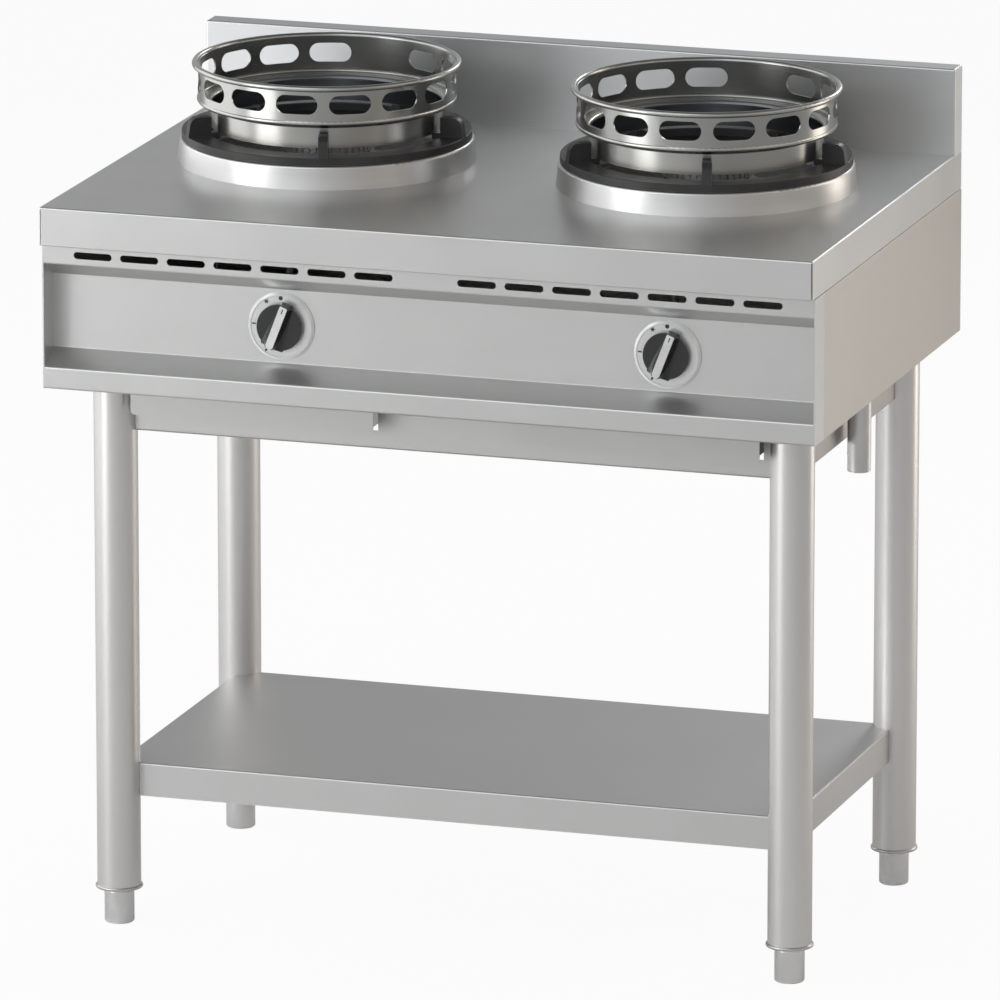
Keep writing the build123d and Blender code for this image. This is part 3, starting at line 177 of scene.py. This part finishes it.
# ------------------------------------------------------------------ shader building
class Number:
    """A value in a material: arithmetic on it adds the Math nodes."""

    def __init__(self, finish, socket):
        self.finish = finish
        self.socket = socket

    def _join(self, operation, first, second):
        made = self.finish.node("ShaderNodeMath", {"operation": operation}, {0: first, 1: second})
        return Number(self.finish, made.outputs[0])

    def __add__(self, other):
        return self._join("ADD", self, other)

    def __radd__(self, other):
        return self._join("ADD", other, self)

    def __sub__(self, other):
        return self._join("SUBTRACT", self, other)

    def __rsub__(self, other):
        return self._join("SUBTRACT", other, self)

    def __mul__(self, other):
        return self._join("MULTIPLY", self, other)

    def __rmul__(self, other):
        return self._join("MULTIPLY", other, self)

    def __pow__(self, other):
        return self._join("POWER", self, other)

    def angle_over(self, across):
        """Angle whose tangent is this value over another, in all four quarters."""
        return self._join("ARCTAN2", self, across)

    def between(self, low, high):
        """0 below low, 1 above high, smooth in between."""
        made = self.finish.node(
            "ShaderNodeMapRange", {"interpolation_type": "SMOOTHSTEP", "clamp": True},
            {"Value": self, "From Min": low, "From Max": high},
        )
        return Number(self.finish, made.outputs["Result"])


class Nodes:
    """The nodes of a material or of the room's light."""

    MIX_COLOURS = (6, 7)
    MIX_RESULT = 2

    def __init__(self, tree):
        self.tree = tree

    def node(self, kind, settings=None, inputs=None):
        made = self.tree.nodes.new(kind)
        for key, value in (settings or {}).items():
            setattr(made, key, value)
        for key, value in (inputs or {}).items():
            self.feed(made.inputs[key], value)
        return made

    def feed(self, socket, value):
        if isinstance(value, Number):
            self.tree.links.new(value.socket, socket)
        elif isinstance(value, bpy.types.NodeSocket):
            self.tree.links.new(value, socket)
        else:
            socket.default_value = value

    def parts(self, vector):
        """The three numbers of a vector."""
        split = self.node("ShaderNodeSeparateXYZ", {}, {0: vector}).outputs
        return [Number(self, output) for output in split]

    def blend(self, factor, first, second):
        """Colour between two colours."""
        made = self.node("ShaderNodeMix", {"data_type": "RGBA"}, {0: factor})
        for place, colour in zip(self.MIX_COLOURS, (first, second)):
            plain = not isinstance(colour, bpy.types.NodeSocket)
            self.feed(made.inputs[place], (*colour, 1) if plain else colour)
        return made.outputs[self.MIX_RESULT]


class Finish(Nodes):
    """A procedural material on the object's own coordinates."""

    def __init__(self, name, colour, metallic=0.0, coat=0.0):
        self.material = bpy.data.materials.new(name)
        self.material.use_nodes = True
        super().__init__(self.material.node_tree)
        self.colour = colour
        self.shader = self.tree.nodes["Principled BSDF"]
        self.set("Base Color", (*colour, 1.0))
        self.set("Metallic", metallic)
        self.set("Coat Weight", coat)
        self.object_place = self.node("ShaderNodeTexCoord").outputs["Object"]

    def place(self, scale=(1, 1, 1), centre=(0, 0, 0)):
        """The object's coordinates, measured from a centre and stretched."""
        shift = [-c * s for c, s in zip(centre, scale)]
        made = self.node(
            "ShaderNodeMapping", {},
            {"Vector": self.object_place, "Scale": scale, "Location": shift},
        )
        return made.outputs["Vector"]

    def height(self):
        """Height above the floor."""
        return self.parts(self.object_place)[2]

    def noise_at(self, vector, detail):
        made = self.node(
            "ShaderNodeTexNoise", {}, {"Vector": vector, "Scale": 1.0, "Detail": detail}
        )
        return Number(self, made.outputs["Fac"])

    def noise(self, scale, detail=3.0):
        """Cloudy value about 0.5; scale is features per metre, for all axes or for each."""
        each_axis = scale if isinstance(scale, tuple) else (scale, scale, scale)
        return self.noise_at(self.place(each_axis), detail)

    def rings(self, centre, axis, by_radius, by_angle, by_height=0, detail=3.0):
        """Noise drawn out into rings round an axis of the object through a centre."""
        place = self.parts(self.place(centre=centre))
        across, up = (place[index] for index in {"Y": (0, 2), "Z": (0, 1)}[axis])
        radius = (across * across + up * up) ** 0.5
        angle = up.angle_over(across)
        vector = self.node(
            "ShaderNodeCombineXYZ", {},
            {0: radius * by_radius, 1: angle * by_angle, 2: self.height() * by_height},
        )
        return self.noise_at(vector.outputs[0], detail)

    def edges(self, width):
        """1 on edges of the shape, 0 away from them."""
        bent = self.node("ShaderNodeBevel", {"samples": 4}, {"Radius": width}).outputs[0]
        plain = self.node("ShaderNodeNewGeometry").outputs["Normal"]
        dot = self.node("ShaderNodeVectorMath", {"operation": "DOT_PRODUCT"}, {0: bent, 1: plain})
        return (1 - Number(self, dot.outputs["Value"])).between(0.02, 0.30)

    def facing_up(self):
        """1 on level faces that look up, 0 on walls, -1 underneath."""
        return self.parts(self.node("ShaderNodeNewGeometry").outputs["Normal"])[2]

    def facing_axis(self, centre):
        """1 on faces that look at the upright axis through a centre, -1 on those that look away."""
        normal = self.parts(self.node("ShaderNodeNewGeometry").outputs["Normal"])
        place = self.parts(self.place(centre=centre))
        radius = (place[0] * place[0] + place[1] * place[1]) ** 0.5
        outward = normal[0] * place[0] + normal[1] * place[1]
        return 0 - outward * radius ** -1

    def mottled(self, pattern, dark, light):
        """The finish's own colour, from a darker to a lighter share of it with a pattern."""
        return self.blend(pattern, shade(self.colour, dark), shade(self.colour, light))

    def roughen(self, base, *patterns):
        """Roughness: a base, and an amount of each pattern."""
        total = base
        for pattern, amount in patterns:
            total = pattern * amount + total
        self.set("Roughness", total)

    def bump(self, height, depth, strength):
        made = self.node(
            "ShaderNodeBump", {}, {"Height": height, "Distance": depth, "Strength": strength}
        )
        self.set("Normal", made.outputs[0])

    def set(self, socket, value):
        self.feed(self.shader.inputs[socket], value)


def shade(colour, share):
    return tuple(min(1.0, channel * share) for channel in colour)


# ------------------------------------------------------------------ finishes
# Streaks per metre along x, y and z, for each way of the brushing.
GRAIN = {"X": (5, 700, 700), "Y": (700, 5, 700)}


def brushed_sheet(name, colour, along, roughness, metallic):
    """Folded stainless sheet: fine brush grain along one axis, faint clouding, edges lightened as
    wear and as a painted edge highlight.
    """
    finish = Finish(name, colour, metallic)
    grain = finish.noise(GRAIN[along], detail=4.0)
    cloud = finish.noise(3, detail=2.0)
    smear = finish.noise(14)
    worn = finish.edges(1.6 * MM)
    sheet = finish.mottled(grain * 0.45 + cloud * 0.55, dark=0.96, light=1.04)
    # Wear and painted edge highlight: the edges are lightened towards a brighter steel.
    finish.set("Base Color", finish.blend(worn * 0.3, sheet, shade(colour, 1.12)))
    finish.roughen(roughness - 0.09, (grain, 0.10), (smear, 0.08), (worn, 0.05))
    finish.bump(grain, depth=0.03 * MM, strength=0.2)
    return finish.material


def polished_steel(name, centre, share):
    """Spun and polished ring: bright, with faint turning lines round its axis."""
    finish = Finish(name, shade(POLISHED_STEEL, share), metallic=1.0)
    lines = finish.rings(centre, "Z", by_radius=900, by_angle=1.5, by_height=900)
    smear = finish.noise(9)
    finish.set("Base Color", finish.mottled(lines, dark=0.94, light=1.05))
    finish.roughen(0.29, (lines, 0.06), (smear, 0.06))
    finish.bump(lines, depth=0.015 * MM, strength=0.12)
    return finish.material


def rolled_steel(name, centre, bottom):
    """Hoop rolled from bright strip: faint grain round it, painted shade on its inner faces, and
    heat blueing with painted shade low inside where the flame is.
    """
    finish = Finish(name, HOOP_STEEL, metallic=1.0)
    height = finish.height()
    step = bottom + HOOP_STEP
    grain = finish.rings(centre, "Z", by_radius=500, by_angle=1.2, by_height=600, detail=4.0)
    cloud = finish.noise(6)
    worn = finish.edges(1.0 * MM)
    base = finish.mottled(grain * 0.5 + cloud * 0.5, dark=0.96, light=1.04)
    straw = (1 - height.between(bottom, step)) * cloud * 0.3
    warm = finish.blend(straw, base, HOOP_STRAW)
    inside = finish.facing_axis(centre).between(0.2, 0.7)
    low = 1 - height.between(step, step + 3 * MM)
    # Painted shade: the faces that look in towards the axis are darkened towards a dull grey.
    inside_shaded = finish.blend(inside * 0.35, warm, HOOP_INSIDE_SHADE)
    # Heat blueing and painted shade: the inner faces low down go nearly black-blue.
    blued_and_shaded = finish.blend(inside * low * 0.9, inside_shaded, HOOP_BLUED_AND_SHADED)
    finish.set("Base Color", finish.blend(worn * 0.6, blued_and_shaded, shade(HOOP_STEEL, 1.4)))
    finish.roughen(0.19, (grain, 0.04), (cloud, 0.06), (worn, -0.04))
    finish.bump(grain, depth=0.006 * MM, strength=0.04)
    return finish.material


def cast_iron(name, colour):
    """Sand-cast, blacked iron: pitted skin with a dull gloss, painted sheen on the up-facing flats,
    rubbed edges.
    """
    finish = Finish(name, colour, metallic=0.25)
    skin = finish.noise(420, detail=4.0)
    pits = finish.noise(1100, detail=2.0)
    cloud = finish.noise(16)
    worn = finish.edges(1.5 * MM)
    flats = finish.facing_up().between(0.7, 0.98)
    base = finish.mottled(cloud.between(0.35, 0.70), dark=0.8, light=1.4)
    # Painted sheen: faces that look up are lightened towards a grey, as where light falls on the
    # tops.
    top_sheened = finish.blend(flats * 0.35, base, IRON_TOP_SHEEN)
    finish.set("Base Color", finish.blend(worn * 0.5, top_sheened, IRON_RUBBED))
    finish.roughen(0.36, (skin, 0.16), (worn, -0.10))
    finish.bump(skin * 0.7 + pits * 0.3, depth=0.25 * MM, strength=0.5)
    return finish.material


def tube_steel(name):
    """Centreless-ground tube: fine rings round the tube and a faint clouding."""
    finish = Finish(name, TUBE_STEEL, metallic=0.88)
    lines = finish.noise((20, 20, 1400), detail=2.0)
    cloud = finish.noise((7, 7, 4), detail=2.0)
    finish.set("Base Color", finish.mottled(lines * 0.3 + cloud * 0.7, dark=0.97, light=1.03))
    finish.roughen(0.31, (lines, 0.03), (cloud, 0.04))
    finish.bump(lines, depth=0.004 * MM, strength=0.05)
    return finish.material


def turned_metal(name, colour, roughness):
    """Lathe-turned fitting with fine tool marks."""
    finish = Finish(name, colour, metallic=1.0)
    marks = finish.noise(900, detail=2.0)
    cloud = finish.noise(30)
    worn = finish.edges(0.6 * MM)
    base = finish.mottled(cloud, dark=0.85, light=1.12)
    finish.set("Base Color", finish.blend(worn * 0.5, base, shade(colour, 1.35)))
    finish.roughen(roughness - 0.1, (marks, 0.12), (cloud, 0.1))
    finish.bump(marks, depth=0.03 * MM, strength=0.3)
    return finish.material


def dial_metal(name, centre):
    """Dial plate: satin silver with fine rings about the knob's axis."""
    finish = Finish(name, DIAL_SILVER, metallic=0.5)
    lines = finish.rings(centre, "Y", by_radius=2200, by_angle=0.8, detail=2.0)
    cloud = finish.noise(25, detail=2.0)
    finish.set("Base Color", finish.mottled(lines * 0.6 + cloud * 0.4, dark=0.92, light=1.07))
    finish.roughen(0.24, (lines, 0.10))
    finish.bump(lines, depth=0.03 * MM, strength=0.3)
    return finish.material


def moulded_plastic(name, colour, roughness):
    """Moulded or glazed part with a very fine eggshell texture and slightly rubbed edges."""
    finish = Finish(name, colour, coat=0.3)
    skin = finish.noise(1500, detail=2.0)
    cloud = finish.noise(40)
    worn = finish.edges(0.8 * MM)
    base = finish.mottled(cloud, dark=0.8, light=1.3)
    finish.set("Base Color", finish.blend(worn * 0.35, base, shade(colour, 3.0)))
    finish.roughen(roughness - 0.08, (skin, 0.1), (cloud, 0.1))
    finish.bump(skin, depth=0.02 * MM, strength=0.4)
    return finish.material


def printed_ink(name):
    """Printed mark: matt ink with a slightly uneven gloss."""
    finish = Finish(name, INK_DARK)
    speckle = finish.noise(2600, detail=2.0)
    finish.set("Base Color", finish.blend(speckle, INK_DARK, INK_LIGHT))
    finish.roughen(0.35, (speckle, 0.25))
    return finish.material


def give(material, names):
    """Gives CAD nodes one finish all over."""
    for name in names:
        slots = NODES[name].data.materials
        slots.clear()
        slots.append(material)


def middle(node):
    low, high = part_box(node)
    return tuple((a + b) / 2 for a, b in zip(low, high))


def dress_burner(side):
    """Finishes that turn about a burner's axis or the axis of its knob."""
    collar, liner, hoop, dial = (
        f"{name}_{side}" for name in ("burner_collar", "burner_liner", "wok_ring", "dial_bezel")
    )
    centre = middle(collar)
    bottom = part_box(hoop)[0][2]
    give(polished_steel(f"collar polished steel {side}", centre, COLLAR_SHARE), [collar])
    give(polished_steel(f"liner polished steel {side}", centre, LINER_SHARE), [liner])
    give(rolled_steel(f"hoop rolled steel, inner shade painted {side}", centre, bottom), [hoop])
    give(dial_metal(f"dial satin silver {side}", middle(dial)), [dial])


def dress_cad_nodes():
    for name, colour, along, roughness, metallic, nodes in SHEETS:
        give(brushed_sheet(name, colour, along, roughness, metallic), nodes)
    for name, colour, roughness, nodes in TURNED_METALS:
        give(turned_metal(name, colour, roughness), nodes)
    for name, colour, roughness, nodes in MOULDED_PARTS:
        give(moulded_plastic(name, colour, roughness), nodes)
    give(tube_steel("leg ground tube"), each_leg("leg"))
    give(cast_iron("pan support cast iron", SUPPORT_IRON), pair("pan_support"))
    give(cast_iron("burner cast iron", BURNER_IRON), pair("burner_body"))
    for side in SIDES:
        dress_burner(side)


# ------------------------------------------------------------------ modelling
def start(operator, name, **size):
    """A new primitive, alone in the selection."""
    bpy.ops.object.select_all(action="DESELECT")
    operator(**size)
    piece = bpy.context.active_object
    piece.name = name
    return piece


def pick(piece, wanted, kind="FACE"):
    """In edit mode, selects the faces or vertices that the test wants."""
    bpy.ops.object.mode_set(mode="EDIT")
    bpy.ops.mesh.select_mode(type=kind)
    bpy.ops.mesh.select_all(action="DESELECT")
    bpy.ops.object.mode_set(mode="OBJECT")
    for part in {"FACE": piece.data.polygons, "VERT": piece.data.vertices}[kind]:
        part.select = wanted(part)
    bpy.ops.object.mode_set(mode="EDIT")


def done():
    bpy.ops.object.mode_set(mode="OBJECT")


def bevelled(piece, width, segments=2):
    """Rounds the piece's sharp edges."""
    rounding = piece.modifiers.new("rounding", "BEVEL")
    rounding.width = width
    rounding.segments = segments
    rounding.limit_method = "ANGLE"
    bpy.ops.object.modifier_apply(modifier="rounding")


def fit(piece, material, body, turn, place):
    """Turns and moves a piece to its place, keeps that in its mesh and hands it to its body."""
    bpy.ops.object.select_all(action="DESELECT")
    piece.select_set(True)
    bpy.context.view_layer.objects.active = piece
    piece.rotation_euler = turn
    piece.location = Vector(place)
    bpy.ops.object.transform_apply(location=True, rotation=True, scale=True)
    bpy.ops.object.shade_smooth_by_angle(angle=radians(35))
    piece.data.materials.clear()
    piece.data.materials.append(material)
    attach(piece, body)


def flat_disc(name, radius, corners):
    return start(bpy.ops.mesh.primitive_cylinder_add, name,
                 vertices=corners, radius=radius, depth=2 * MARK_PROUD)


def flat_bar(name, width, length):
    bar = start(bpy.ops.mesh.primitive_cube_add, name,
                size=1, scale=(width, length, 2 * MARK_PROUD))
    bevelled(bar, BAR_ROUNDING)
    return bar


def lay(mark, ink, body, side, angle, ring, face):
    """Sets a mark half into a face of the dial or knob, turned with its place round the axis."""
    x, _, z = middle(f"dial_bezel_{side}")
    turn = radians(angle)
    place = (x - ring * sin(turn), face, z + ring * cos(turn))
    fit(mark, ink, body, (radians(90), -turn, 0), place)


def dial_marks(ink):
    """Off dot, spark, large-flame bar and small-flame drop on each dial."""
    for side in SIDES:
        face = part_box(f"dial_bezel_{side}")[0][1] + DIAL_FACE_STEP
        dot = flat_disc(f"dial_dot_{side}", DOT_RADIUS, 32)
        bevelled(dot, DOT_ROUNDING)
        lay(dot, ink, "stand", side, OFF_ANGLE, MARK_RING, face)

        spark = flat_disc(f"dial_spark_{side}", SPARK_RADIUS, 12)
        # Each corner is two vertices, one above the other; every second corner is drawn in.
        pick(spark, lambda vertex: vertex.index // 2 % 2 == 1, "VERT")
        bpy.ops.transform.resize(value=(SPARK_WAIST, SPARK_WAIST, 1))
        done()
        lay(spark, ink, "stand", side, SPARK_ANGLE, MARK_RING, face)

        bar = flat_bar(f"dial_large_flame_{side}", *FLAME_BAR)
        lay(bar, ink, "stand", side, LARGE_FLAME_ANGLE, LARGE_FLAME_RING, face)

        drop = flat_disc(f"dial_small_flame_{side}", DROP_RADIUS, 16)
        # The topmost corner is drawn out to the drop's tip.
        pick(drop, lambda vertex: vertex.co.y > 0.95 * DROP_RADIUS, "VERT")
        bpy.ops.transform.translate(value=(0, DROP_TIP, 0))
        done()
        lay(drop, ink, "stand", side, SMALL_FLAME_ANGLE, MARK_RING, face)


def pointer_marks(ink):
    """Short bar set into each knob's bright strip near its upper end."""
    for side in SIDES:
        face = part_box(f"knob_pointer_{side}")[0][1]
        bar = flat_bar(f"pointer_mark_{side}", *POINTER_MARK)
        lay(bar, ink, f"knob_{side}", side, POINTER_ANGLE, POINTER_MARK_RING, face)


def hexagon_nut(name):
    """Hexagon nut with turned-down corners."""
    nut = start(bpy.ops.mesh.primitive_cylinder_add, name,
                vertices=6, radius=NUT_RADIUS, depth=NUT_LENGTH)
    pick(nut, lambda face: abs(face.normal.z) > 0.9)
    bpy.ops.mesh.inset(thickness=NUT_INSET, depth=NUT_CROWN)
    done()
    bevelled(nut, NUT_ROUNDING, segments=1)
    return nut


def pipe_nuts(brass):
    """Compression nuts where each feed pipe leaves its tap and enters its jet holder."""
    for side in SIDES:
        low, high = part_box(f"feed_pipe_{side}")
        tap_x = middle(f"gas_valve_{side}")[0]
        place = (tap_x, high[1] - FEED_RADIUS, low[2] + NUT_LENGTH / 2)
        fit(hexagon_nut(f"tap_nut_{side}"), brass, "stand", (0, 0, 0), place)

        jet_x, _, jet_z = middle(f"injector_{side}")
        place = (jet_x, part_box(f"injector_{side}")[0][1] - NUT_LENGTH / 2, jet_z)
        fit(hexagon_nut(f"jet_nut_{side}"), brass, "stand", (radians(90), 0, 0), place)


def add_fittings():
    ink = printed_ink("dial ink")
    dial_marks(ink)
    pointer_marks(ink)
    pipe_nuts(NODES["injector_left"].data.materials[0])


# ------------------------------------------------------------------ studio
def aim(thing, target):
    direction = Vector(target) - thing.location
    thing.rotation_euler = direction.to_track_quat("-Z", "Y").to_euler()


def softbox(name, place, target, size, power, colour):
    lamp = bpy.data.lights.new(name, "AREA")
    lamp.shape = "RECTANGLE"
    lamp.size, lamp.size_y = size
    lamp.energy = power
    lamp.color = colour
    box = bpy.data.objects.new(name, lamp)
    bpy.context.scene.collection.objects.link(box)
    box.location = place
    aim(box, target)


def room_light():
    """White to the camera; to the metal, a soft room that is brightest in front."""
    world = bpy.data.worlds.new("studio")
    bpy.context.scene.world = world
    world.use_nodes = True
    world.node_tree.nodes.clear()
    room = Nodes(world.node_tree)
    x, y, z = room.parts(room.node("ShaderNodeTexCoord").outputs["Generated"])
    shell = room.blend((y * -1).between(*BACK_TO_FRONT), ROOM_BACK, ROOM_FRONT)
    warm = room.blend(x.between(*MIDDLE_TO_RIGHT), shell, ROOM_RIGHT)
    high = room.blend(z.between(*WALL_TO_CEILING), warm, ROOM_CEILING)
    studio = room.node("ShaderNodeBackground", {}, {0: high})
    white = room.node("ShaderNodeBackground", {}, {0: (*WHITE, 1)})
    seen = room.node("ShaderNodeLightPath").outputs["Is Camera Ray"]
    choice = room.node("ShaderNodeMixShader", {},
                       {0: seen, 1: studio.outputs[0], 2: white.outputs[0]})
    room.node("ShaderNodeOutputWorld", {}, {0: choice.outputs[0]})


def studio_floor():
    """Plain pale floor: white to the camera, with a soft shadow left in it."""
    floor = start(bpy.ops.mesh.primitive_plane_add, "studio_floor", size=FLOOR_SIZE)
    finish = Finish("pale floor", FLOOR_COLOUR)
    finish.set("Roughness", FLOOR_ROUGHNESS)
    glow = finish.node("ShaderNodeEmission", {}, {"Color": (*WHITE, 1), "Strength": 1.0})
    seen = Number(finish, finish.node("ShaderNodeLightPath").outputs["Is Camera Ray"])
    mixed = finish.node("ShaderNodeMixShader", {},
                        {0: seen * FLOOR_GLOW, 1: finish.shader.outputs[0], 2: glow.outputs[0]})
    finish.feed(finish.tree.nodes["Material Output"].inputs[0], mixed.outputs[0])
    floor.data.materials.append(finish.material)


def photographer():
    camera = bpy.data.objects.new("camera", bpy.data.cameras.new("camera"))
    bpy.context.scene.collection.objects.link(camera)
    camera.location = CAMERA_PLACE
    camera.data.lens = CAMERA_LENS
    camera.data.sensor_width = CAMERA_SENSOR
    camera.data.clip_end = CAMERA_REACH
    aim(camera, CAMERA_TARGET)
    bpy.context.scene.camera = camera


def studio():
    room_light()
    studio_floor()
    for lamp in SOFTBOXES:
        softbox(*lamp)
    bpy.context.scene.view_settings.view_transform = "Standard"


photographer()
studio()
dress_cad_nodes()
add_fittings()
